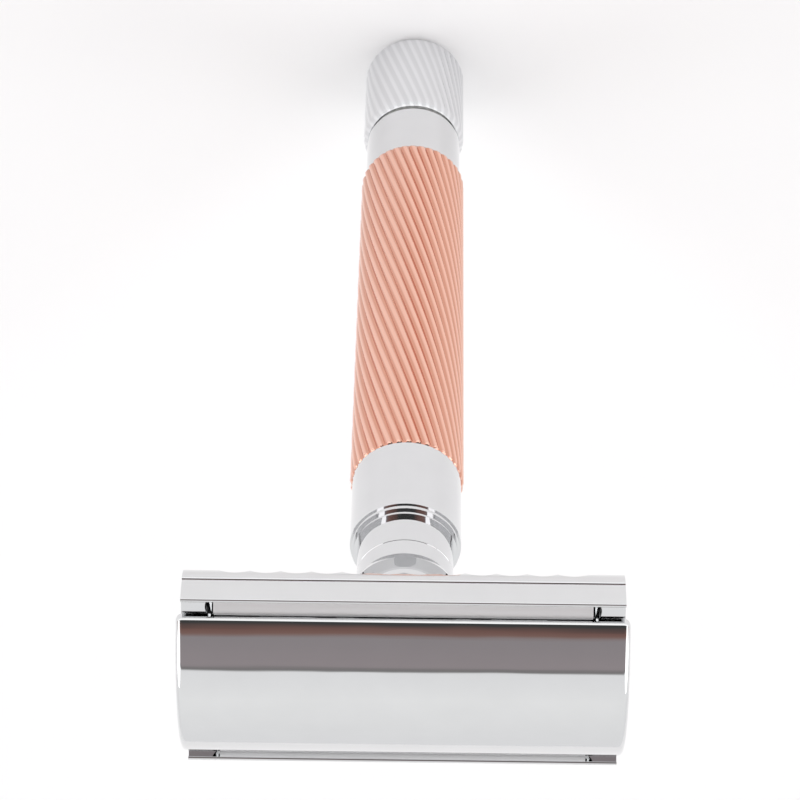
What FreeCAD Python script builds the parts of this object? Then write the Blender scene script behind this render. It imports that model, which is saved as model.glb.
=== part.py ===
"""Double-edge safety razor: a clamped blade head on a ribbed handle with a twist knob at its foot.

The frame stands on the flat end of the knob: +Z runs up the handle to the head, X along the blade,
Y across it, and the origin is the centre of the knob's end. All sizes are in millimetres.
"""
import FreeCAD, Part
import math
import os
import re
import Sketcher

SIZES = {
    # twist knob
    "knob_radius": 6.0,
    "knob_height": 14.6,
    "knob_chamfer": 0.5,
    "plug_radius": 4.0,
    "plug_height": 1.2,
    "screw_head_radius": 2.75,
    "screw_head_height": 2.4,
    "screw_shank_radius": 1.5,
    "screw_shank_length": 8.0,
    "screw_clearance": 0.2,
    # draw rod and the pieces on it
    "rod_radius": 2.0,
    "rod_foot": 6.0,
    "rod_top": 84.0,
    "running_gap": 0.06,
    "washer_radius": 4.9,
    "washer_height": 0.35,
    "ring_radius": 3.2,
    "ring_groove_radius": 1.65,
    "ring_height": 0.6,
    "ring_foot": 23.15,
    "nut_radius": 3.0,
    "nut_foot": 80.0,
    "nut_floor": 92.0,
    "nut_top": 101.0,
    # handle
    "collar_foot": 15.0,
    "collar_radius": 5.55,
    "collar_web": 1.6,
    "collar_chamfer": 0.25,
    "grip_foot": 23.4,
    "grip_top": 78.0,
    "grip_radius": 6.0,
    "grip_chamfer": 0.45,
    "core_radius": 4.8,
    "core_bore": 4.0,
    "core_top": 83.9,
    "bush_height": 6.0,
    "bush_gap": 0.1,
    "upper_bush_foot": 72.0,
    "upper_collar_radius": 5.75,
    "upper_collar_rim": 87.8,
    "first_step_radius": 5.6,
    "first_step_top": 88.35,
    "second_step_radius": 5.35,
    "upper_collar_top": 88.9,
    # neck
    "neck_ring_radius": 4.95,
    "neck_seam": 92.5,
    "seam_chamfer": 0.04,
    "ferrule_flare_radius": 5.3,
    "ferrule_flare_foot": 94.6,
    "ferrule_rim": 95.5,
    "ferrule_top": 96.0,
    "tenon_radius": 4.0,
    "stem_foot": 84.0,
    "stem_radius": 4.4,
    "stem_waist_radius": 4.15,
    "stem_bore": 3.15,
    "stem_bore_top": 101.8,
    "spigot_radius": 3.6,
    "spigot_top": 105.0,
    # head
    "boss_radius": 5.0,
    "boss_foot": 102.8,
    "head_arc_centre": 94.77,
    "bed_arc_radius": 15.7,
    "bed_half_width": 8.3,
    "guard_length": 43.0,
    "guard_outer": 11.3,
    "crest_outer": 10.93,
    "crest_width": 0.45,
    "crest_radius": 0.24,
    "crest_shoulder": 108.26,
    "trough_floor": 106.1,
    "trough_inner": 8.7,
    "trough_outer": 10.45,
    "face_radius": 9.0,
    "face_foot": 105.75,
    "lip_step": 0.2,
    "lip_top": 105.4,
    "lip_round": 0.4,
    "lip_radius": 6.0,
    "bar_foot": 103.6,
    "bar_foot_outer": 10.45,
    "bar_foot_inner": 9.7,
    "plate_underside": 106.0,
    "plate_underside_width": 7.2,
    "scallop_radius": 1.75,
    "scallop_depth": 0.85,
    "scallop_pitch": 3.0,
    "scallop_count": 12,
    "slot_length": 5.6,
    "slot_width": 0.7,
    "slot_offset": 9.2,
    "slot_pitch": 7.6,
    "slot_count": 4,
    "land_length": 2.95,
    "land_top": 108.05,
    "land_fall": 0.55,
    "land_brow": 8.9,
    "land_inner": 8.4,
    "land_outer": 10.6,
    "land_roundness": 0.57,
    # blade
    "blade_length": 43.0,
    "blade_width": 22.0,
    "blade_arc_radius": 16.0,
    "blade_thickness": 0.1,
    "blade_edge_length": 36.8,
    "blade_tab_half_width": 6.7,
    "blade_slot_length": 33.0,
    "blade_slot_width": 1.8,
    "blade_centre_hole_radius": 2.9,
    "blade_end_hole_radius": 1.95,
    # cap
    "cap_length": 44.0,
    "cap_edge_half_width": 9.0,
    "cap_arc_radius": 12.9,
    "cap_crown": 112.6,
    "cap_seat_radius": 16.25,
    "cap_rim_round": 0.6,
    "stud_radius": 2.5,
    "stud_foot": 93.0,
    "stud_hole_radius": 2.8,
    "stud_seat_depth": 0.6,
    "pin_radius": 1.6,
    "pin_offset": 15.5,
    "pin_foot": 105.6,
    "pin_hole_radius": 1.9,
    "pin_seat_depth": 0.4,
}

WORD = re.compile(r"[a-z]+(?:_[a-z]+)+")

doc = FreeCAD.newDocument("safety_razor")
sheet = doc.addObject("Spreadsheet::Sheet", "Sizes")
for row, (alias, number) in enumerate(SIZES.items(), start=1):
    sheet.set(f"A{row}", alias)
    sheet.set(f"B{row}", str(number))
    sheet.setAlias(f"B{row}", alias)
probe = doc.addObject("App::FeaturePython", "Probe")
doc.recompute()

sub_parts = []


def bound(formula):
    """Turn a formula of size names into one that reads the sheet."""
    return WORD.sub(lambda match: "Sizes." + match.group(0), str(formula))


def value(formula):
    """The present number of a formula of size names."""
    return float(probe.evalExpression(bound(formula)))


def finished(piece, label):
    piece.Label = label
    sub_parts.append(piece)
    return piece


# ---------------------------------------------------------------- Part primitives


def cylinder(name, radius, foot, top, across="0", along="0"):
    """An upright cylinder whose radius, ends and place follow the sheet."""
    solid = doc.addObject("Part::Cylinder", name)
    solid.setExpression("Radius", bound(radius))
    solid.setExpression("Height", bound(f"({top}) - ({foot})"))
    solid.setExpression("Placement.Base.x", bound(along))
    solid.setExpression("Placement.Base.y", bound(across))
    solid.setExpression("Placement.Base.z", bound(foot))
    return solid


def difference(name, base, tool):
    cut = doc.addObject("Part::Cut", name)
    cut.Base = base
    cut.Tool = tool
    return cut


def tube(name, radius, bore, foot, top):
    outside = cylinder(name + "_outside", radius, foot, top)
    inside = cylinder(name + "_bore", bore, foot, top)
    return difference(name, outside, inside)


# ---------------------------------------------------------------- PartDesign helpers


def origin_plane(body, role):
    return next(item for item in body.Origin.OriginFeatures if item.Role == role)


def new_sketch(body, name, role):
    sketch = body.newObject("Sketcher::SketchObject", name)
    sketch.AttachmentSupport = [(origin_plane(body, role), "")]
    sketch.MapMode = "FlatFace"
    return sketch


def arc_between(start, end, radius, side):
    """The short arc from start to end; side 1 bulges to the left of the way, side -1 to the right."""
    chord = end - start
    left = FreeCAD.Vector(-chord.y, chord.x, 0)
    left.normalize()
    depth = math.sqrt(max(0.0, radius ** 2 - (chord.Length / 2) ** 2))
    centre = (start + end) * 0.5 - left * (depth * side)
    first, last = (end, start) if side > 0 else (start, end)
    first_turn = math.atan2(first.y - centre.y, first.x - centre.x)
    last_turn = math.atan2(last.y - centre.y, last.x - centre.x)
    if last_turn < first_turn:
        last_turn += 2 * math.pi
    upright = FreeCAD.Vector(0, 0, 1)
    return Part.ArcOfCircle(Part.Circle(centre, upright, radius), first_turn, last_turn)


def outline(sketch, corners):
    """Draw a closed outline. Each corner is (x, y) and, for an arc to the next one, (radius, side)."""
    points = [FreeCAD.Vector(value(corner[0]), value(corner[1]), 0) for corner in corners]
    ends = []
    for index, corner in enumerate(corners):
        start = points[index]
        end = points[(index + 1) % len(points)]
        if len(corner) == 2:
            edge = sketch.addGeometry(Part.LineSegment(start, end), False)
            ends.append((edge, 1, 2))
            continue
        radius, side = corner[2]
        edge = sketch.addGeometry(arc_between(start, end, value(radius), side), False)
        ends.append((edge, 2, 1) if side > 0 else (edge, 1, 2))
        limit = sketch.addConstraint(Sketcher.Constraint("Radius", edge, value(radius)))
        sketch.setExpression(f"Constraints[{limit}]", bound(radius))
    for index, corner in enumerate(corners):
        edge, first, last = ends[index]
        following, next_first, next_last = ends[(index + 1) % len(corners)]
        sketch.addConstraint(Sketcher.Constraint("Coincident", edge, last, following, next_first))
        for kind, formula in (("DistanceX", corner[0]), ("DistanceY", corner[1])):
            spot = value(formula)
            limit = sketch.addConstraint(Sketcher.Constraint(kind, -1, 1, edge, first, spot))
            sketch.setExpression(f"Constraints[{limit}]", bound(formula))


def circle(sketch, x, y, radius):
    centre = FreeCAD.Vector(value(x), value(y), 0)
    ring = sketch.addGeometry(Part.Circle(centre, FreeCAD.Vector(0, 0, 1), value(radius)), False)
    for kind, formula in (("DistanceX", x), ("DistanceY", y)):
        if formula == "0":
            continue
        limit = sketch.addConstraint(Sketcher.Constraint(kind, -1, 1, ring, 3, value(formula)))
        sketch.setExpression(f"Constraints[{limit}]", bound(formula))
    if x == "0":
        sketch.addConstraint(Sketcher.Constraint("PointOnObject", ring, 3, -2))
    if y == "0":
        sketch.addConstraint(Sketcher.Constraint("PointOnObject", ring, 3, -1))
    limit = sketch.addConstraint(Sketcher.Constraint("Radius", ring, value(radius)))
    sketch.setExpression(f"Constraints[{limit}]", bound(radius))


def turned(label, corners):
    """A turned piece: a half outline of radius and height, revolved about the handle's axis."""
    body = doc.addObject("PartDesign::Body", label)
    sketch = new_sketch(body, label + "_outline", "XZ_Plane")
    outline(sketch, corners)
    doc.recompute()
    spin = body.newObject("PartDesign::Revolution", label + "_turned")
    spin.Profile = sketch
    spin.ReferenceAxis = (sketch, ["V_Axis"])
    spin.Angle = 360
    body.Tip = spin
    doc.recompute()
    return finished(body, label)


def padded(body, sketch, name, length, symmetric=True, flipped=False):
    pad = body.newObject("PartDesign::Pad", name)
    pad.Profile = sketch
    pad.Midplane = symmetric
    pad.Reversed = flipped
    pad.setExpression("Length", bound(length))
    body.Tip = pad
    doc.recompute()
    return pad


def pocketed(body, sketch, name, depth, symmetric=False, flipped=False):
    """Cut a pocket, and stop if it took nothing away."""
    before = body.Shape.Volume
    pocket = body.newObject("PartDesign::Pocket", name)
    pocket.Profile = sketch
    pocket.Midplane = symmetric
    pocket.Reversed = flipped
    pocket.setExpression("Length", bound(depth))
    body.Tip = pocket
    doc.recompute()
    if body.Shape.Volume > before - 1e-4:
        raise RuntimeError(name + " cuts nothing")
    return pocket


def repeated(body, features, name, direction, length, count):
    row_of_copies = body.newObject("PartDesign::LinearPattern", name)
    row_of_copies.Originals = features
    row_of_copies.Direction = direction
    row_of_copies.setExpression("Length", bound(length))
    row_of_copies.setExpression("Occurrences", bound(count))
    body.Tip = row_of_copies
    doc.recompute()
    return row_of_copies


# ---------------------------------------------------------------- knob body


def build_twist_knob():
    head = "screw_head_radius + screw_clearance"
    floor = "plug_height + screw_clearance + screw_head_height + screw_clearance"
    shank = "screw_shank_radius + screw_clearance"
    turned("twist_knob", [
        ("plug_radius", "0"),
        ("knob_radius - knob_chamfer", "0"),
        ("knob_radius", "knob_chamfer"),
        ("knob_radius", "knob_height - knob_chamfer"),
        ("knob_radius - knob_chamfer", "knob_height"),
        ("rod_radius", "knob_height"),
        ("rod_radius", "rod_foot"),
        (shank, "rod_foot"),
        (shank, floor),
        (head, floor),
        (head, "plug_height"),
        ("plug_radius", "plug_height"),
    ])


def build_knob_plug():
    finished(cylinder("knob_plug_disc", "plug_radius", "0", "plug_height"), "knob_plug")


def build_knob_screw():
    """A pan-head screw up into the rod's foot, with a hexagon socket in its head."""
    head_top = "plug_height + screw_clearance + screw_head_height + screw_clearance"
    head_foot = "plug_height + 2 * screw_clearance"
    head = cylinder("knob_screw_head", "screw_head_radius", head_foot, head_top)
    shank = cylinder("knob_screw_shank", "screw_shank_radius", head_top,
                     f"{head_top} + screw_shank_length")
    both = doc.addObject("Part::Fuse", "knob_screw_blank")
    both.Base = head
    both.Tool = shank
    socket = doc.addObject("Part::Prism", "knob_screw_socket")
    socket.Polygon = 6
    socket.setExpression("Circumradius", bound("screw_shank_radius"))
    socket.setExpression("Height", bound("screw_head_height / 2"))
    socket.setExpression("Placement.Base.z", bound(head_foot))
    finished(difference("knob_screw_cut", both, socket), "knob_screw")


def build_draw_rod():
    screw_top = "plug_height + 2 * screw_clearance + screw_head_height + screw_shank_length"
    turned("draw_rod", [
        ("screw_shank_radius", "rod_foot"),
        ("rod_radius", "rod_foot"),
        ("rod_radius", "ring_foot"),
        ("ring_groove_radius", "ring_foot"),
        ("ring_groove_radius", "ring_foot + ring_height"),
        ("rod_radius", "ring_foot + ring_height"),
        ("rod_radius", "rod_top"),
        ("screw_shank_radius / 4", "rod_top"),
        ("screw_shank_radius / 4", f"{screw_top} + screw_clearance"),
        ("screw_shank_radius", f"{screw_top} + screw_clearance"),
    ])


def build_thrust_washer():
    top = "knob_height + washer_height"
    finished(tube("thrust_washer_ring", "washer_radius", "rod_radius", "knob_height", top),
             "thrust_washer")


def build_retaining_ring():
    """An open ring snapped into the rod's groove."""
    whole = tube("retaining_ring_whole", "ring_radius", "ring_groove_radius",
                 "ring_foot", "ring_foot + ring_height")
    gap = doc.addObject("Part::Box", "retaining_ring_gap")
    gap.setExpression("Length", bound("ring_radius * 2"))
    gap.setExpression("Width", bound("ring_groove_radius"))
    gap.setExpression("Height", bound("ring_height"))
    gap.setExpression("Placement.Base.y", bound("-ring_groove_radius / 2"))
    gap.setExpression("Placement.Base.z", bound("ring_foot"))
    finished(difference("retaining_ring_open", whole, gap), "retaining_ring")


def build_rod_nut():
    bore = "stud_radius + running_gap"
    turned("rod_nut", [
        ("rod_radius", "nut_foot"),
        ("nut_radius", "nut_foot"),
        ("nut_radius", "nut_top"),
        (bore, "nut_top"),
        (bore, "nut_floor"),
        ("rod_radius / 4", "nut_floor"),
        ("rod_radius / 4", "rod_top"),
        ("rod_radius", "rod_top"),
    ])


# ---------------------------------------------------------------- handle body


def build_lower_collar():
    turned("lower_collar", [
        ("rod_radius + knob_chamfer", "collar_foot"),
        ("collar_radius - collar_chamfer", "collar_foot"),
        ("collar_radius", "collar_foot + collar_chamfer"),
        ("collar_radius", "grip_foot"),
        ("core_radius", "grip_foot"),
        ("core_radius", "collar_foot + collar_web"),
        ("rod_radius + knob_chamfer", "collar_foot + collar_web"),
    ])


def build_core_tube():
    finished(tube("core_tube_pipe", "core_radius", "core_bore", "collar_foot + collar_web", "core_top"),
             "core_tube")


def build_grip_sleeve():
    turned("grip_sleeve", [
        ("core_radius", "grip_foot"),
        ("grip_radius - grip_chamfer", "grip_foot"),
        ("grip_radius", "grip_foot + grip_chamfer"),
        ("grip_radius", "grip_top - grip_chamfer"),
        ("grip_radius - grip_chamfer", "grip_top"),
        ("core_radius", "grip_top"),
    ])


def build_bush(label, foot):
    bore = "rod_radius + running_gap"
    finished(tube(label + "_ring", "core_bore", bore, foot, f"{foot} + bush_height"), label)


def build_upper_collar():
    turned("upper_collar", [
        ("core_radius", "grip_top"),
        ("upper_collar_radius", "grip_top"),
        ("upper_collar_radius", "upper_collar_rim"),
        ("first_step_radius", "upper_collar_rim"),
        ("first_step_radius", "first_step_top"),
        ("second_step_radius", "first_step_top"),
        ("second_step_radius", "upper_collar_top"),
        ("tenon_radius", "upper_collar_top"),
        ("tenon_radius", "core_top"),
        ("core_radius", "core_top"),
    ])


def build_neck_ring():
    turned("neck_ring", [
        ("tenon_radius", "upper_collar_top"),
        ("neck_ring_radius", "upper_collar_top"),
        ("neck_ring_radius", "neck_seam - seam_chamfer"),
        ("neck_ring_radius - seam_chamfer", "neck_seam"),
        ("tenon_radius", "neck_seam"),
    ])


def build_neck_ferrule():
    turned("neck_ferrule", [
        ("tenon_radius", "neck_seam"),
        ("neck_ring_radius - seam_chamfer", "neck_seam"),
        ("neck_ring_radius", "neck_seam + seam_chamfer"),
        ("neck_ring_radius + seam_chamfer", "ferrule_flare_foot"),
        ("ferrule_flare_radius", "ferrule_rim"),
        ("stem_radius", "ferrule_top"),
        ("tenon_radius", "ferrule_top"),
    ])


def build_neck_stem():
    middle = "(ferrule_top + boss_foot) / 2"
    turned("neck_stem", [
        ("stem_bore", "stem_foot"),
        ("tenon_radius", "stem_foot"),
        ("tenon_radius", "ferrule_top"),
        ("stem_radius", "ferrule_top"),
        ("stem_waist_radius", middle),
        ("stem_radius", "boss_foot"),
        ("spigot_radius", "boss_foot"),
        ("spigot_radius", "spigot_top"),
        ("stud_hole_radius", "spigot_top"),
        ("stud_hole_radius", "stem_bore_top"),
        ("stem_bore", "stem_bore_top"),
    ])


# ---------------------------------------------------------------- head: guard, blade and cap


def guard_outline(sketch):
    """The guard plate's section across the blade, with Y to the right and Z up."""
    bed_edge = "head_arc_centre + sqrt(bed_arc_radius ^ 2 - bed_half_width ^ 2)"
    half = [
        ("bed_half_width", bed_edge),
        ("trough_inner", "trough_floor"),
        ("trough_outer", "trough_floor"),
        ("crest_outer - crest_width", "crest_shoulder", ("crest_radius", 1)),
        ("crest_outer", "crest_shoulder", ("face_radius", 1)),
        ("guard_outer - lip_step", "face_foot", ("lip_round", 1)),
        ("guard_outer", "lip_top", ("lip_radius", 1)),
        ("bar_foot_outer", "bar_foot"),
        ("bar_foot_inner", "bar_foot"),
        ("plate_underside_width", "plate_underside"),
    ]
    right = [tuple(corner) for corner in half]
    left = []
    for index in range(len(half) - 1, -1, -1):
        corner = ("-(" + half[index][0] + ")", half[index][1])
        arc = half[index - 1][2:] if index > 0 else ()
        left.append(corner + arc)
    left[-1] = left[-1][:2] + (("bed_arc_radius", 1),)
    outline(sketch, right + left)


def build_base_plate():
    """The guard plate: bed, troughs, crests, scalloped bars, lather slots and the handle's boss."""
    body = doc.addObject("PartDesign::Body", "base_plate")
    section = new_sketch(body, "guard_section", "YZ_Plane")
    guard_outline(section)
    doc.recompute()
    padded(body, section, "guard_bar", "guard_length")

    scallop = new_sketch(body, "scallop_circle", "XZ_Plane")
    first = "-scallop_pitch * (scallop_count - 1) / 2"
    circle(scallop, first, "bar_foot + scallop_depth - scallop_radius", "scallop_radius")
    doc.recompute()
    cut = pocketed(body, scallop, "scallop", "4 * guard_outer", symmetric=True)
    repeated(body, [cut], "scallops", (scallop, ["H_Axis"]),
             "scallop_pitch * (scallop_count - 1)", "scallop_count")

    slots = new_sketch(body, "slot_outline", "XY_Plane")
    for side in ("", "-"):
        inner = f"{side}(slot_offset - slot_width / 2)"
        outer = f"{side}(slot_offset + slot_width / 2)"
        start = "-slot_pitch * (slot_count - 1) / 2 - slot_length / 2"
        finish = "-slot_pitch * (slot_count - 1) / 2 + slot_length / 2"
        outline(slots, [(start, inner), (finish, inner), (finish, outer), (start, outer)])
    doc.recompute()
    cut = pocketed(body, slots, "lather_slot", "cap_crown", flipped=True)
    repeated(body, [cut], "lather_slots", (slots, ["H_Axis"]),
             "slot_pitch * (slot_count - 1)", "slot_count")

    lands = new_sketch(body, "land_outlines", "XY_Plane")
    for side, turn in (("", 1), ("-", -1)):
        root = "guard_length / 2 - land_length"
        throat = f"{side}(land_outer)"
        outline(lands, [
            ("guard_length / 2", f"{side}(land_inner)"),
            ("guard_length / 2", throat),
            (root, throat, ("(land_outer - land_inner) * land_roundness", turn)),
            (root, f"{side}(land_inner)"),
        ])
    lands.setExpression("AttachmentOffset.Base.z", bound("trough_floor - crest_width"))
    doc.recompute()
    land = padded(body, lands, "end_lands", "land_top - trough_floor + crest_width", symmetric=False)
    other_end = body.newObject("PartDesign::Mirrored", "other_end_lands")
    other_end.Originals = [land]
    other_end.MirrorPlane = (origin_plane(body, "YZ_Plane"), [""])
    body.Tip = other_end
    doc.recompute()

    slopes = new_sketch(body, "land_slopes", "YZ_Plane")
    for side in ("", "-"):
        brow = f"{side}(land_brow)"
        foot = f"{side}(crest_outer - crest_width)"
        outline(slopes, [(brow, "land_top"), (foot, "land_top - land_fall"), (foot, "cap_crown"),
                         (brow, "cap_crown")])
    doc.recompute()
    pocketed(body, slopes, "sloped_lands", "guard_length", symmetric=True)

    boss = new_sketch(body, "boss_circle", "XY_Plane")
    circle(boss, "0", "0", "boss_radius")
    boss.setExpression("AttachmentOffset.Base.z", bound("boss_foot"))
    doc.recompute()
    padded(body, boss, "handle_boss", "plate_underside + crest_width - boss_foot", symmetric=False)

    seat = new_sketch(body, "spigot_circle", "XY_Plane")
    circle(seat, "0", "0", "spigot_radius")
    seat.setExpression("AttachmentOffset.Base.z", bound("spigot_top"))
    doc.recompute()
    pocketed(body, seat, "spigot_seat", "spigot_top - boss_foot + crest_width")

    holes = new_sketch(body, "hole_circles", "XY_Plane")
    circle(holes, "0", "0", "stud_hole_radius")
    for side in ("", "-"):
        circle(holes, side + "pin_offset", "0", "pin_hole_radius")
    doc.recompute()
    pocketed(body, holes, "stud_and_pin_holes", "cap_crown", flipped=True)
    finished(body, "base_plate")


def blade_outline(sketch):
    """The bent blade's section: two arcs of one centre, joined at the cutting edges."""
    outer = "(blade_arc_radius + blade_thickness / 2)"
    inner = "(blade_arc_radius - blade_thickness / 2)"
    half_turn = "(blade_width / 2 / blade_arc_radius * 1rad)"
    outline(sketch, [
        (f"{outer} * sin({half_turn})", f"head_arc_centre + {outer} * cos({half_turn})",
         (outer, -1)),
        (f"-{outer} * sin({half_turn})", f"head_arc_centre + {outer} * cos({half_turn})"),
        (f"-{inner} * sin({half_turn})", f"head_arc_centre + {inner} * cos({half_turn})",
         (inner, 1)),
        (f"{inner} * sin({half_turn})", f"head_arc_centre + {inner} * cos({half_turn})"),
    ])


def build_razor_blade():
    """The double-edge blade, bent over the bed, with its end tabs and the long centre slot."""
    body = doc.addObject("PartDesign::Body", "razor_blade")
    section = new_sketch(body, "blade_section", "YZ_Plane")
    blade_outline(section)
    doc.recompute()
    padded(body, section, "bent_strip", "blade_length")

    corners = new_sketch(body, "corner_notches", "XY_Plane")
    for along in ("", "-"):
        for across in ("", "-"):
            near = f"{along}(blade_edge_length / 2)"
            far = f"{along}(blade_length)"
            inner = f"{across}(blade_tab_half_width)"
            outer = f"{across}(blade_width)"
            outline(corners, [(near, inner), (far, inner), (far, outer), (near, outer)])
    doc.recompute()
    pocketed(body, corners, "tab_notches", "cap_crown", flipped=True)

    slot = new_sketch(body, "centre_slot", "XY_Plane")
    start = "-blade_slot_length / 2"
    finish = "blade_slot_length / 2"
    low = "-blade_slot_width / 2"
    high = "blade_slot_width / 2"
    outline(slot, [(start, low), (finish, low), (finish, high), (start, high)])
    doc.recompute()
    pocketed(body, slot, "long_slot", "cap_crown", flipped=True)

    centre = new_sketch(body, "centre_hole", "XY_Plane")
    circle(centre, "0", "0", "blade_centre_hole_radius")
    for side in ("", "-"):
        circle(centre, side + "pin_offset", "0", "blade_end_hole_radius")
    doc.recompute()
    pocketed(body, centre, "round_holes", "cap_crown", flipped=True)
    finished(body, "razor_blade")


def cap_outline(sketch):
    """The cap's section: a domed top, upright long edges and a hollow blade seat below."""
    edge = "cap_edge_half_width"
    top = f"(cap_crown - cap_arc_radius + sqrt(cap_arc_radius ^ 2 - {edge} ^ 2))"
    seat = f"(head_arc_centre + sqrt(cap_seat_radius ^ 2 - {edge} ^ 2))"
    outline(sketch, [
        (edge, seat),
        (edge, top, ("cap_arc_radius", -1)),
        (f"-{edge}", top),
        (f"-{edge}", seat, ("cap_seat_radius", 1)),
    ])


def rim_edges(shape):
    """The names of the edges round the cap's rim: its long edges, end arcs and upright corners."""
    edge_of_dome = value("cap_crown - cap_arc_radius"
                         " + sqrt(cap_arc_radius ^ 2 - cap_edge_half_width ^ 2)")
    hair = 0.01
    names = []
    for index, edge in enumerate(shape.Edges, start=1):
        box = edge.BoundBox
        long_edge = box.XLength > hair and abs(box.Center.z - edge_of_dome) < hair
        in_end_face = box.XLength < hair
        end_arc = in_end_face and box.ZMax > value("cap_crown") - hair
        corner = in_end_face and box.YLength < hair
        if long_edge or end_arc or corner:
            names.append(f"Edge{index}")
    return names


def build_top_cap():
    body = doc.addObject("PartDesign::Body", "top_cap")
    section = new_sketch(body, "cap_section", "YZ_Plane")
    cap_outline(section)
    doc.recompute()
    pad = padded(body, section, "cap_dome", "cap_length")
    rounding = body.newObject("PartDesign::Fillet", "cap_rim_rounding")
    rounding.Base = (pad, rim_edges(pad.Shape))
    rounding.setExpression("Radius", bound("cap_rim_round"))
    body.Tip = rounding
    doc.recompute()

    stud_seat = new_sketch(body, "stud_seat_circle", "XY_Plane")
    circle(stud_seat, "0", "0", "stud_radius")
    doc.recompute()
    seat_top = "head_arc_centre + cap_seat_radius"
    pocketed(body, stud_seat, "stud_seat", f"{seat_top} + stud_seat_depth", flipped=True)

    pin_seats = new_sketch(body, "pin_seat_circles", "XY_Plane")
    for side in ("", "-"):
        circle(pin_seats, side + "pin_offset", "0", "pin_radius")
    doc.recompute()
    pocketed(body, pin_seats, "pin_seats", f"{seat_top} + pin_seat_depth", flipped=True)
    finished(body, "top_cap")


def build_cap_stud():
    top = "head_arc_centre + cap_seat_radius + stud_seat_depth"
    blank = cylinder("cap_stud_blank", "stud_radius", "stud_foot", top)
    doc.recompute()
    tip = [index for index, edge in enumerate(blank.Shape.Edges, start=1)
           if edge.BoundBox.ZMax < value("stud_foot") + 0.01]
    point = doc.addObject("Part::Chamfer", "cap_stud_point")
    point.Base = blank
    width = value("stud_radius / 5")
    point.Edges = [(index, width, width) for index in tip]
    finished(point, "cap_stud")


def build_locating_pins():
    top = "head_arc_centre + cap_seat_radius + pin_seat_depth"
    for side, name in (("-", "locating_pin_left"), ("", "locating_pin_right")):
        pin = cylinder(name + "_shaft", "pin_radius", "pin_foot", top, along=side + "pin_offset")
        finished(pin, name)


def build_all():
    build_twist_knob()
    build_knob_plug()
    build_knob_screw()
    build_draw_rod()
    build_thrust_washer()
    build_retaining_ring()
    build_rod_nut()
    build_lower_collar()
    build_core_tube()
    build_grip_sleeve()
    build_bush("lower_bush", "collar_foot + collar_web + bush_gap")
    build_bush("upper_bush", "upper_bush_foot")
    build_upper_collar()
    build_neck_ring()
    build_neck_ferrule()
    build_neck_stem()
    build_base_plate()
    build_razor_blade()
    build_top_cap()
    build_cap_stud()
    build_locating_pins()
    doc.recompute()


def check_document():
    for item in doc.Objects:
        if "Invalid" in item.State or "Error" in item.State:
            raise RuntimeError(f"{item.Name} failed: {item.State}")
    for piece in sub_parts:
        if piece.Shape.isNull() or not piece.Shape.isValid():
            raise RuntimeError(piece.Label + " has no valid shape")
        if len(piece.Shape.Solids) != 1:
            raise RuntimeError(f"{piece.Label} has {len(piece.Shape.Solids)} solids")


def export_parts():
    os.makedirs("parts", exist_ok=True)
    for piece in sub_parts:
        piece.Shape.exportStep(os.path.join("parts", piece.Label + ".step"))
        box = piece.Shape.BoundBox
        print(f"{piece.Label:22s} volume {piece.Shape.Volume:9.2f}  z {box.ZMin:7.2f} {box.ZMax:7.2f}"
              f"  x {box.XLength:6.2f}  y {box.YLength:6.2f}")


build_all()
check_document()
export_parts()
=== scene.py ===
"""Looks of the safety razor: ribbed rose-gold and chrome handle, polished head, seen from over the cap."""
import math
import bmesh
import bpy
from mathutils import Euler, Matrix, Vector


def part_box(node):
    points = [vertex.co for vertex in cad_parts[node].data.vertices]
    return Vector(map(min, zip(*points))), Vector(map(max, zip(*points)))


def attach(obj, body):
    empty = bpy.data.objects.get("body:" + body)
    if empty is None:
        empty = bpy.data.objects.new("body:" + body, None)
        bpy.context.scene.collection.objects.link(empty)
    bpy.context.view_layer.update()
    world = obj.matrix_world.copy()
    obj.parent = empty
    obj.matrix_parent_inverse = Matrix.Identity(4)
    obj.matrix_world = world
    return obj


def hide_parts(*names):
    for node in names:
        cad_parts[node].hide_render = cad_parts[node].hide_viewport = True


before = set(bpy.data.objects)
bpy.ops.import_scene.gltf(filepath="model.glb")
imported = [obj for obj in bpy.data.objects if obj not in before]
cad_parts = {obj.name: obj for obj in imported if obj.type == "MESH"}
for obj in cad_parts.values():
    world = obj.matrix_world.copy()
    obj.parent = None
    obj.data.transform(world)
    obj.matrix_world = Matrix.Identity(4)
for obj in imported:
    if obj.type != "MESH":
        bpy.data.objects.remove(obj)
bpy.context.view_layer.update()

MM = 0.001

RIB_COUNT = 36
RIB_FACETS = 14
RIB_TURN_PER_METRE = math.radians(-2600)

CAMERA_PLACE = (-0.00234, -0.22521, 0.34324)
CAMERA_TURN_DEGREES = (-38.865, 0.834, -179.794)
CAMERA_LENS = 148.3
CAMERA_SENSOR = 36

SUN_SPREAD = math.radians(55)
SUN_POWER = 0.95
SUN_DISTANCE = 0.5

# The light that the polished metal shows: degrees from straight up, minus towards the viewer, and its colour.
PLAIN_LIGHT = 1.0
BRIGHTEST_LIGHT = 1.35
STUDIO_BANDS = (
    (-90, (1.0, 1.0, 1.0)),
    (-75, (1.35, 1.35, 1.35)),
    (-59, (1.35, 1.35, 1.35)),
    (-57, (0.05, 0.05, 0.05)),
    (-39, (0.06, 0.06, 0.06)),
    (-37, (0.20, 0.11, 0.095)),
    (-33, (0.25, 0.15, 0.13)),
    (-30, (0.32, 0.29, 0.30)),
    (-4.5, (0.35, 0.31, 0.32)),
    (-2, (0.22, 0.21, 0.21)),
    (-0.5, (0.26, 0.25, 0.25)),
    (1.5, (0.93, 0.93, 0.94)),
    (30, (1.0, 1.0, 1.0)),
    (90, (0.9, 0.9, 0.91)),
)
BAND_SWAY = math.radians(7)


def box_of(node_name):
    low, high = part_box(node_name)
    return Vector(low), Vector(high)


# ---------------------------------------------------------------- shader building blocks


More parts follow.
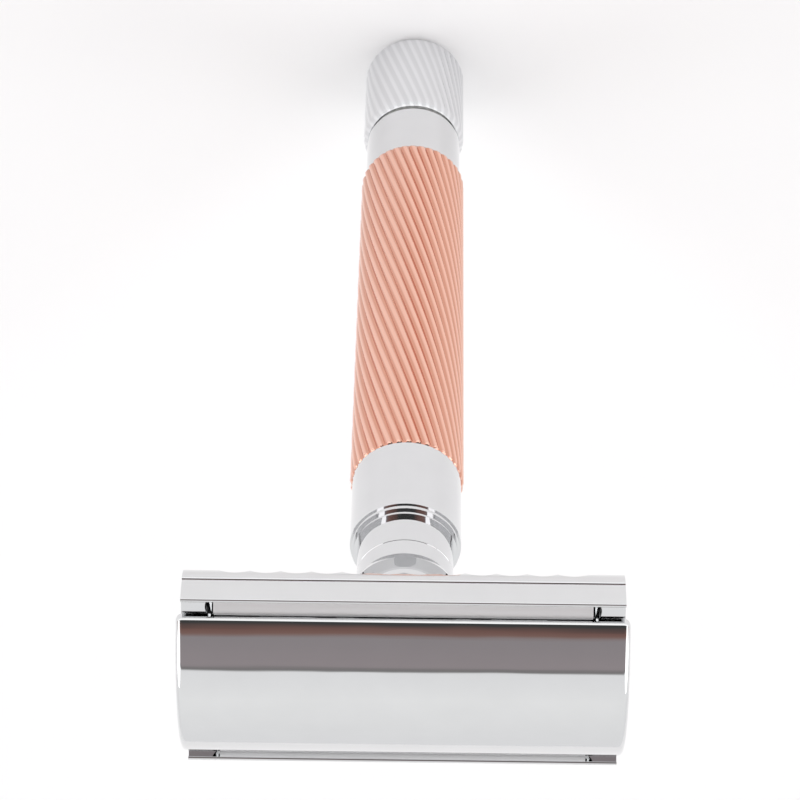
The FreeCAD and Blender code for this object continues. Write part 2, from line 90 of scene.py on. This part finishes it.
def new_material(name):
    material = bpy.data.materials.new(name)
    material.use_nodes = True
    tree = material.node_tree
    shader = tree.nodes["Principled BSDF"]
    return material, tree, shader


def add_node(tree, kind, **settings):
    made = tree.nodes.new(kind)
    for name, setting in settings.items():
        setattr(made, name, setting)
    return made


def object_coordinates(tree, squeeze=(1, 1, 1)):
    """Coordinates on the object; a pattern runs long in a direction whose squeeze is small."""
    place = add_node(tree, "ShaderNodeTexCoord")
    mapping = add_node(tree, "ShaderNodeMapping")
    mapping.inputs["Scale"].default_value = squeeze
    tree.links.new(place.outputs["Object"], mapping.inputs["Vector"])
    return mapping.outputs["Vector"]


def noise(tree, coordinates, scale, detail=2.0):
    texture = add_node(tree, "ShaderNodeTexNoise")
    texture.inputs["Scale"].default_value = scale
    texture.inputs["Detail"].default_value = detail
    tree.links.new(coordinates, texture.inputs["Vector"])
    return texture.outputs["Fac"]


def remap(tree, value, source=(0.0, 1.0), target=(0.0, 1.0)):
    """Map the source range of a value onto the target range."""
    ramp = add_node(tree, "ShaderNodeMapRange")
    ramp.inputs["From Min"].default_value = source[0]
    ramp.inputs["From Max"].default_value = source[1]
    ramp.inputs["To Min"].default_value = target[0]
    ramp.inputs["To Max"].default_value = target[1]
    tree.links.new(value, ramp.inputs["Value"])
    return ramp.outputs["Result"]


def arctangent(tree, rise, run):
    made = add_node(tree, "ShaderNodeMath", operation="ARCTAN2")
    tree.links.new(rise, made.inputs[0])
    tree.links.new(run, made.inputs[1])
    return made.outputs[0]


def cosine(tree, value):
    made = add_node(tree, "ShaderNodeMath", operation="COSINE")
    tree.links.new(value, made.inputs[0])
    return made.outputs[0]


def add(tree, first, second):
    made = add_node(tree, "ShaderNodeMath", operation="ADD")
    tree.links.new(first, made.inputs[0])
    tree.links.new(second, made.inputs[1])
    return made.outputs[0]


def scale_and_shift(tree, value, factor, shift=0.0):
    made = add_node(tree, "ShaderNodeMath", operation="MULTIPLY_ADD")
    tree.links.new(value, made.inputs[0])
    made.inputs[1].default_value = factor
    made.inputs[2].default_value = shift
    return made.outputs[0]


def tinted(tree, shader, factor, first, second):
    """Colour the surface from the first colour to the second as the factor rises."""
    mix = add_node(tree, "ShaderNodeMix", data_type="RGBA")
    mix.inputs["A"].default_value = (*first, 1)
    mix.inputs["B"].default_value = (*second, 1)
    tree.links.new(factor, mix.inputs["Factor"])
    tree.links.new(mix.outputs["Result"], shader.inputs["Base Color"])


def roughened(tree, shader, factor, smoothest, roughest):
    tree.links.new(remap(tree, factor, target=(smoothest, roughest)), shader.inputs["Roughness"])


def embossed(tree, shader, height, strength, distance):
    texture = add_node(tree, "ShaderNodeBump")
    texture.inputs["Strength"].default_value = strength
    texture.inputs["Distance"].default_value = distance
    tree.links.new(height, texture.inputs["Height"])
    tree.links.new(texture.outputs["Normal"], shader.inputs["Normal"])


# ---------------------------------------------------------------- materials


def polished_metal(name, light, dark, roughness, waviness):
    """Plated metal: faint colour drift, fine rubbing marks in the gloss, and a slow ripple."""
    material, tree, shader = new_material(name)
    shader.inputs["Metallic"].default_value = 1.0
    ripple = noise(tree, object_coordinates(tree, squeeze=(1, 2.5, 1)), scale=160, detail=1.0)
    marks = noise(tree, object_coordinates(tree, squeeze=(0.2, 1, 1)), scale=5200, detail=4.0)
    drift = noise(tree, object_coordinates(tree), scale=300)
    tinted(tree, shader, drift, light, dark)
    roughened(tree, shader, marks, smoothest=roughness * 0.6, roughest=roughness * 1.5)
    embossed(tree, shader, ripple, strength=waviness, distance=0.6 * MM)
    return material


def turned_metal(name, light, dark, roughness):
    """Machined metal: fine rings of the lathe around the handle's axis."""
    material, tree, shader = new_material(name)
    shader.inputs["Metallic"].default_value = 1.0
    rings = noise(tree, object_coordinates(tree, squeeze=(0.02, 0.02, 1)), scale=9000, detail=3.0)
    tinted(tree, shader, rings, light, dark)
    roughened(tree, shader, rings, smoothest=roughness * 0.7, roughest=roughness * 1.4)
    embossed(tree, shader, rings, strength=0.25, distance=0.02 * MM)
    return material


def satin_steel(name, light, dark):
    """Ground sheet steel: pale and soft, with fine grinding lines along its length."""
    material, tree, shader = new_material(name)
    shader.inputs["Metallic"].default_value = 0.45
    lines = noise(tree, object_coordinates(tree, squeeze=(0.02, 1, 1)), scale=8000, detail=3.0)
    tinted(tree, shader, lines, light, dark)
    roughened(tree, shader, lines, smoothest=0.42, roughest=0.55)
    embossed(tree, shader, lines, strength=0.2, distance=0.01 * MM)
    return material


def moulded_plastic(name, light, dark):
    """Plastic with a fine even grain."""
    material, tree, shader = new_material(name)
    grain = noise(tree, object_coordinates(tree), scale=4000, detail=3.0)
    tinted(tree, shader, grain, light, dark)
    roughened(tree, shader, grain, smoothest=0.35, roughest=0.55)
    embossed(tree, shader, grain, strength=0.2, distance=0.03 * MM)
    return material


def rib_shade_mask(tree, foot):
    """1 on the crests and 0 in the valleys of the twisted ribs that start at the height foot; it places the
    painted shade in the valleys.
    """
    place = add_node(tree, "ShaderNodeTexCoord")
    split = add_node(tree, "ShaderNodeSeparateXYZ")
    tree.links.new(place.outputs["Object"], split.inputs["Vector"])
    around = arctangent(tree, split.outputs["Y"], split.outputs["X"])
    untwist = scale_and_shift(tree, split.outputs["Z"], -RIB_TURN_PER_METRE, RIB_TURN_PER_METRE * foot)
    ribs = scale_and_shift(tree, add(tree, around, untwist), RIB_COUNT)
    return remap(tree, cosine(tree, ribs), source=(-0.3, 0.7))


def ribbed_metal(name, node_name, crest, valley, roughness):
    """Plated metal over ribs: painted shade gives the valleys a deeper tone than the crests."""
    material, tree, shader = new_material(name)
    shader.inputs["Metallic"].default_value = 1.0
    marks = noise(tree, object_coordinates(tree), scale=3000, detail=4.0)
    foot = box_of(node_name)[0].z
    # Painted shade: the valley colour darkens the rib valleys against the lighter crest colour.
    tinted(tree, shader, rib_shade_mask(tree, foot), valley, crest)
    roughened(tree, shader, marks, smoothest=roughness * 0.6, roughest=roughness * 1.5)
    embossed(tree, shader, marks, strength=0.1, distance=0.02 * MM)
    return material


chrome_head = polished_metal(
    "mirror_chrome", light=(0.75, 0.755, 0.76), dark=(0.71, 0.715, 0.72), roughness=0.03, waviness=0.02)
chrome_handle = polished_metal(
    "handle_chrome", light=(0.75, 0.755, 0.765), dark=(0.70, 0.705, 0.715), roughness=0.04, waviness=0.03)
# In both ribbed materials the valley colour is painted shade in the rib valleys.
chrome_ribs = ribbed_metal(
    "ribbed_chrome", "twist_knob", crest=(0.80, 0.805, 0.82), valley=(0.70, 0.705, 0.72), roughness=0.1)
rose_gold = ribbed_metal(
    "rose_gold", "grip_sleeve", crest=(0.90, 0.545, 0.435), valley=(0.70, 0.34, 0.245), roughness=0.14)
blade_steel = satin_steel("blade_steel", light=(0.96, 0.96, 0.96), dark=(0.92, 0.92, 0.93))
stainless = turned_metal(
    "turned_stainless", light=(0.66, 0.66, 0.66), dark=(0.52, 0.52, 0.53), roughness=0.28)
brass = turned_metal("turned_brass", light=(0.80, 0.61, 0.29), dark=(0.68, 0.50, 0.22), roughness=0.3)
tube_alloy = turned_metal("drawn_tube", light=(0.72, 0.72, 0.73), dark=(0.60, 0.60, 0.62), roughness=0.35)
nylon = moulded_plastic("washer_nylon", light=(0.86, 0.85, 0.80), dark=(0.80, 0.79, 0.74))

NODE_MATERIALS = {
    "knob_plug": chrome_handle,
    "lower_collar": chrome_handle,
    "upper_collar": chrome_handle,
    "neck_ring": chrome_handle,
    "neck_ferrule": chrome_handle,
    "neck_stem": chrome_handle,
    "base_plate": chrome_head,
    "top_cap": chrome_head,
    "razor_blade": blade_steel,
    "knob_screw": stainless,
    "draw_rod": stainless,
    "retaining_ring": stainless,
    "cap_stud": stainless,
    "locating_pin_left": stainless,
    "locating_pin_right": stainless,
    "core_tube": tube_alloy,
    "lower_bush": brass,
    "upper_bush": brass,
    "rod_nut": brass,
    "thrust_washer": nylon,
}


def dress_nodes():
    """Give every CAD piece that stays visible its material."""
    for node_name, material in NODE_MATERIALS.items():
        for material_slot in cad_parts[node_name].material_slots:
            material_slot.material = material


# ---------------------------------------------------------------- ribbed and threaded pieces


def vertex_loop(grid, radii, height, twist=0.0):
    """A closed row of vertices about the handle's axis, one for each radius and evenly spaced."""
    loop = []
    for corner, radius in enumerate(radii):
        turn = 2 * math.pi * corner / len(radii) + twist
        loop.append(grid.verts.new((radius * math.cos(turn), radius * math.sin(turn), height)))
    return loop


def join_loops(grid, loops):
    """Bridge each loop of vertices to the next with four-sided faces."""
    for lower, upper in zip(loops, loops[1:]):
        for corner in range(len(lower)):
            following = (corner + 1) % len(lower)
            grid.faces.new((lower[corner], lower[following], upper[following], upper[corner]))


def finished_piece(name, grid, material, sharp_angle):
    """Turn the built mesh into an object with smooth faces and sharp corners."""
    mesh = bpy.data.meshes.new(name)
    grid.to_mesh(mesh)
    grid.free()
    for face in mesh.polygons:
        face.use_smooth = True
    mesh.set_sharp_from_angle(angle=math.radians(sharp_angle))
    mesh.materials.append(material)
    piece = bpy.data.objects.new(name, mesh)
    bpy.context.collection.objects.link(piece)
    return piece


def rib_drop(phase, depth, flat):
    """How far below the crest a rib's surface lies: a narrow flat crest, then a V-shaped valley."""
    reach = abs(phase - 0.5) * 2
    return depth * max(0.0, 1 - reach / (1 - flat))


def end_stations(foot, top, rims, steps):
    """Heights up a sleeve with the inset of its turned-in rims: pairs of (height, inset)."""
    lower = [(foot + height, inset) for inset, height in rims]
    upper = [(top - height, inset) for inset, height in reversed(rims)]
    start = lower[-1][0]
    rise = (upper[0][0] - start) / steps
    middle = [(start + rise * step, 0.0) for step in range(1, steps)]
    return lower + middle + upper


def ribbed_sleeve(name, node_name, material, depth, flat, rims, bore, steps):
    """A tube with twisted ribs; its mesh rows follow the twist, so the ribs stay smooth."""
    low, high = box_of(node_name)
    crest = high.x
    one_rib = [crest - rib_drop(facet / RIB_FACETS, depth, flat) for facet in range(RIB_FACETS)]
    ribbed_radii = one_rib * RIB_COUNT
    bore_radii = [bore] * len(ribbed_radii)
    grid = bmesh.new()
    loops = []
    for height, inset in end_stations(low.z, high.z, rims, steps):
        radii = [min(radius, crest - inset) for radius in ribbed_radii]
        loops.append(vertex_loop(grid, radii, height, RIB_TURN_PER_METRE * (height - low.z)))
    loops.append(vertex_loop(grid, bore_radii, high.z, RIB_TURN_PER_METRE * (high.z - low.z)))
    loops.append(vertex_loop(grid, bore_radii, low.z))
    loops.append(loops[0])
    join_loops(grid, loops)
    return finished_piece(name, grid, material, sharp_angle=38)


def make_grip():
    """The grip sleeve; each rim point is (inset of the radius, distance from the end)."""
    rims = [(0.27 * MM, 0.0), (0.13 * MM, 0.12 * MM), (0.02 * MM, 0.32 * MM), (0.0, 0.38 * MM)]
    grip = ribbed_sleeve("ribbed_grip", "grip_sleeve", rose_gold,
                         depth=0.28 * MM, flat=0.14, rims=rims, bore=4.85 * MM, steps=110)
    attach(grip, "handle")
    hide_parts("grip_sleeve")


def make_knob():
    """The twist knob, whose ribs are shallower and flatter than the grip's."""
    rims = [(0.5 * MM, 0.0), (0.16 * MM, 0.5 * MM), (0.02 * MM, 0.9 * MM), (0.0, 1.0 * MM)]
    knob = ribbed_sleeve("ribbed_knob", "twist_knob", chrome_ribs,
                         depth=0.12 * MM, flat=0.25, rims=rims, bore=4.0 * MM, steps=34)
    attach(knob, "knob_drive")
    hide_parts("twist_knob")


def make_stud():
    """The cap's stud with its screw thread, hidden in the nut until the cap is lifted."""
    low, high = box_of("cap_stud")
    crest = high.x
    pitch = 0.7 * MM
    depth = 0.3 * MM
    lead_in = 0.5 * MM
    plain_length = 3.4 * MM
    around = 48
    rows_per_pitch = 8
    thread_top = high.z - plain_length
    rows = int((thread_top - low.z) / pitch * rows_per_pitch)
    grid = bmesh.new()
    loops = []
    for row in range(rows + 1):
        height = low.z + (thread_top - low.z) * row / rows
        taper = max(0.0, lead_in - (height - low.z))
        radii = []
        for corner in range(around):
            phase = (height / pitch - corner / around) % 1.0
            thread = depth * abs(phase - 0.5) * 2
            radii.append(crest - max(taper, thread))
        loops.append(vertex_loop(grid, radii, height))
    for height in (thread_top, high.z):
        loops.append(vertex_loop(grid, [crest] * around, height))
    join_loops(grid, loops)
    grid.faces.new(list(reversed(loops[0])))
    grid.faces.new(loops[-1])
    stud = finished_piece("threaded_stud", grid, stainless, sharp_angle=50)
    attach(stud, "cap")
    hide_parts("cap_stud")


# ---------------------------------------------------------------- stage, light and camera


def make_floor():
    """A plain pale floor, a hair below the knob's foot."""
    gap = 0.05 * MM
    bpy.ops.mesh.primitive_plane_add(size=6, location=(0, 0, -gap))
    floor = bpy.context.object
    floor.name = "studio_floor"
    material, tree, shader = new_material("pale_floor")
    speckle = noise(tree, object_coordinates(tree), scale=40)
    tinted(tree, shader, speckle, (0.97, 0.97, 0.97), (0.95, 0.95, 0.955))
    shader.inputs["Roughness"].default_value = 0.7
    floor.data.materials.append(material)


def studio_angle(tree):
    """The angle of a direction from straight up, front to back, with a little noise so that edges sway."""
    place = add_node(tree, "ShaderNodeTexCoord")
    split = add_node(tree, "ShaderNodeSeparateXYZ")
    tree.links.new(place.outputs["Generated"], split.inputs["Vector"])
    tilt = arctangent(tree, split.outputs["Y"], split.outputs["Z"])
    streaks = noise(tree, place.outputs["Generated"], scale=7)
    return add(tree, tilt, scale_and_shift(tree, streaks, BAND_SWAY, -BAND_SWAY / 2))


def light_level(colour):
    """A ramp colour for a light, as a share of the brightest one."""
    return (*[channel / BRIGHTEST_LIGHT for channel in colour], 1)


def studio_bands(tree):
    """The studio's bands of light, by the angle from straight up."""
    bands = add_node(tree, "ShaderNodeValToRGB")
    ramp = bands.color_ramp
    ramp.interpolation = "LINEAR"
    for degrees, colour in STUDIO_BANDS:
        ramp.elements.new((degrees + 180) / 360).color = light_level(colour)
    for end in (ramp.elements[0], ramp.elements[-1]):
        end.color = light_level([PLAIN_LIGHT] * 3)
    turn = remap(tree, studio_angle(tree), source=(-math.pi, math.pi))
    tree.links.new(turn, bands.inputs["Fac"])
    return bands.outputs["Color"]


def make_world():
    """A bright studio with dark and brown bands for the metal to show; the backdrop itself is plain."""
    world = bpy.data.worlds.new("studio")
    bpy.context.scene.world = world
    world.use_nodes = True
    tree = world.node_tree
    rays = add_node(tree, "ShaderNodeLightPath")
    seen = add_node(tree, "ShaderNodeMix", data_type="RGBA")
    seen.inputs["B"].default_value = light_level([PLAIN_LIGHT] * 3)
    tree.links.new(rays.outputs["Is Camera Ray"], seen.inputs["Factor"])
    tree.links.new(studio_bands(tree), seen.inputs["A"])
    background = tree.nodes["Background"]
    background.inputs["Strength"].default_value = BRIGHTEST_LIGHT
    tree.links.new(seen.outputs["Result"], background.inputs["Color"])


def make_light(name, direction):
    """A very soft, even light that comes from the given direction."""
    lamp = bpy.data.lights.new(name, "SUN")
    lamp.angle = SUN_SPREAD
    lamp.energy = SUN_POWER
    holder = bpy.data.objects.new(name, lamp)
    holder.location = Vector(direction) * SUN_DISTANCE
    holder.rotation_euler = (-Vector(direction)).to_track_quat("-Z", "Y").to_euler()
    bpy.context.collection.objects.link(holder)


def make_camera():
    """The view from above the cap, with the handle running away from it."""
    lens = bpy.data.cameras.new("view")
    lens.lens = CAMERA_LENS
    lens.sensor_width = CAMERA_SENSOR
    camera = bpy.data.objects.new("view", lens)
    camera.location = CAMERA_PLACE
    camera.rotation_euler = Euler([math.radians(angle) for angle in CAMERA_TURN_DEGREES], "XYZ")
    bpy.context.collection.objects.link(camera)
    bpy.context.scene.camera = camera


bpy.context.scene.view_settings.view_transform = "Standard"
dress_nodes()
make_grip()
make_knob()
make_stud()
make_floor()
make_world()
make_light("side_left", direction=(-1.0, -0.1, 0.8))
make_light("side_right", direction=(1.0, -0.1, 0.8))
make_camera()
